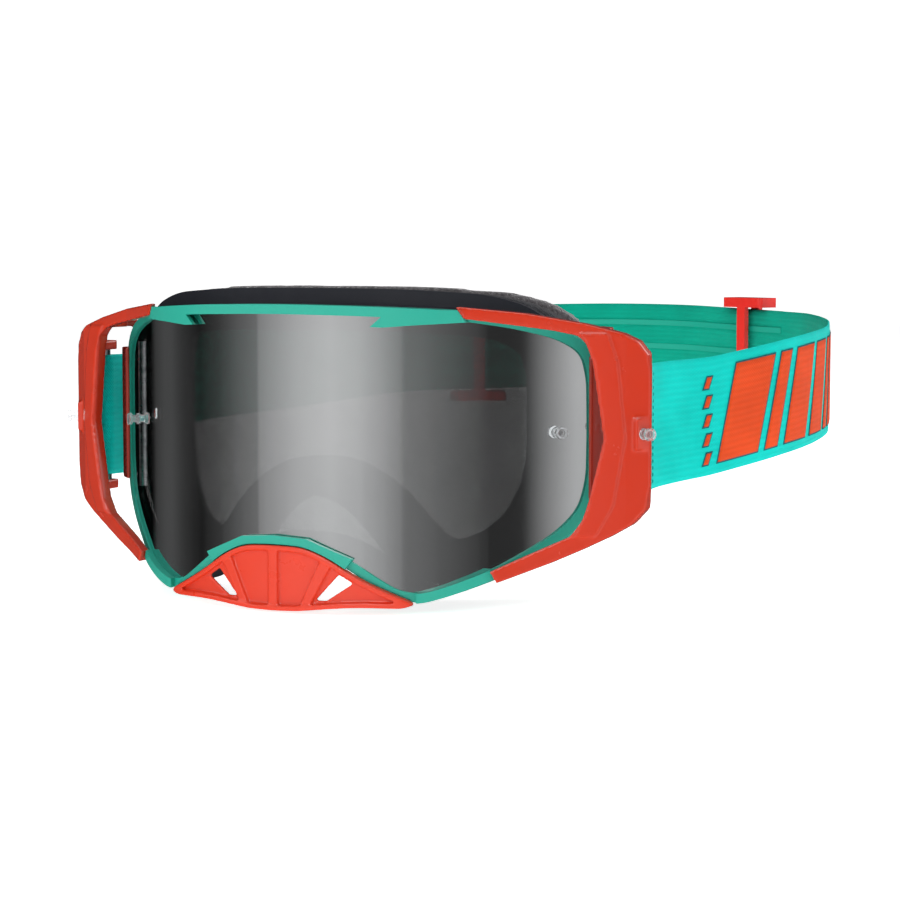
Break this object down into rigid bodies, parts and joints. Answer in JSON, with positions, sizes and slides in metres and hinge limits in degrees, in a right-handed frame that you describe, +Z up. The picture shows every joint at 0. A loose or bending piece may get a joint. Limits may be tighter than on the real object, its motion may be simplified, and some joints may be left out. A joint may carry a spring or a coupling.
{
  "type": "motocross goggles",
  "caption": "Motocross goggles with a curved mirrored lens, outriggers, face foam, a clip-on nose guard and an elastic strap with sliders.",
  "frame": {"origin": "on the mid-plane where the face foam meets the brow, level with the tear-off posts", "axes": "+Z up, the wearer looks along -Y, +X to the right as seen from the front, which is the wearer's left, and the strap runs back along +Y"},
  "size_m": [0.2694, 0.3521, 0.1075],
  "materials": {
    "orange_plastic": "gloss",
    "teal_plastic": "satin",
    "dark_plastic": "matte",
    "red_plastic": "gloss",
    "clear_plastic": "clear gloss",
    "mirror_lens": "silver mirror coat on smoke",
    "foam": "smooth-skinned foam",
    "fleece": "brushed fleece",
    "vent_foam": "open-cell foam",
    "webbing": "woven elastic",
    "silicone": "silicone print",
    "steel": "drawn"
  },
  "bodies": {
    "goggles": {"brow_trim": "teal_plastic", "chin_trim_left": "teal_plastic", "chin_trim_right": "teal_plastic", "face_frame": "dark_plastic", "foam_base": "foam", "foam_core": "foam", "foam_fleece": "fleece", "front_rim": "teal_plastic", "lens": "mirror_lens", "lens_post_left": "clear_plastic", "lens_post_right": "clear_plastic", "nose_trim": "teal_plastic", "outrigger_left": "orange_plastic", "outrigger_post_left": "clear_plastic", "outrigger_post_right": "clear_plastic", "outrigger_right": "orange_plastic", "push_nuts": "clear_plastic", "silicone_grips": "silicone", "strap_band": "webbing", "strap_doubler": "webbing", "strap_end_left": "webbing", "strap_end_right": "webbing", "strap_pin_left": "steel", "strap_pin_right": "steel", "vent_foam_low": "vent_foam", "vent_foam_top": "vent_foam"},
    "nose_guard": {"nose_guard": "orange_plastic"},
    "slider_left": {"slider_left": "red_plastic"},
    "slider_right": {"slider_right": "red_plastic"}
  },
  "joints": [
    {"name": "nose_guard_pull", "type": "slide", "parent": "goggles", "child": "nose_guard", "axis": [0, -1, 0], "range_m": [0, 0.012]},
    {"name": "slider_right_slide", "type": "slide", "parent": "goggles", "child": "slider_right", "axis": [-0.8547, 0.5192, 0], "range_m": [-0.008, 0.014]},
    {"name": "slider_left_slide", "type": "slide", "parent": "goggles", "child": "slider_left", "axis": [0.8547, 0.5192, 0], "range_m": [-0.008, 0.014]}
  ]
}
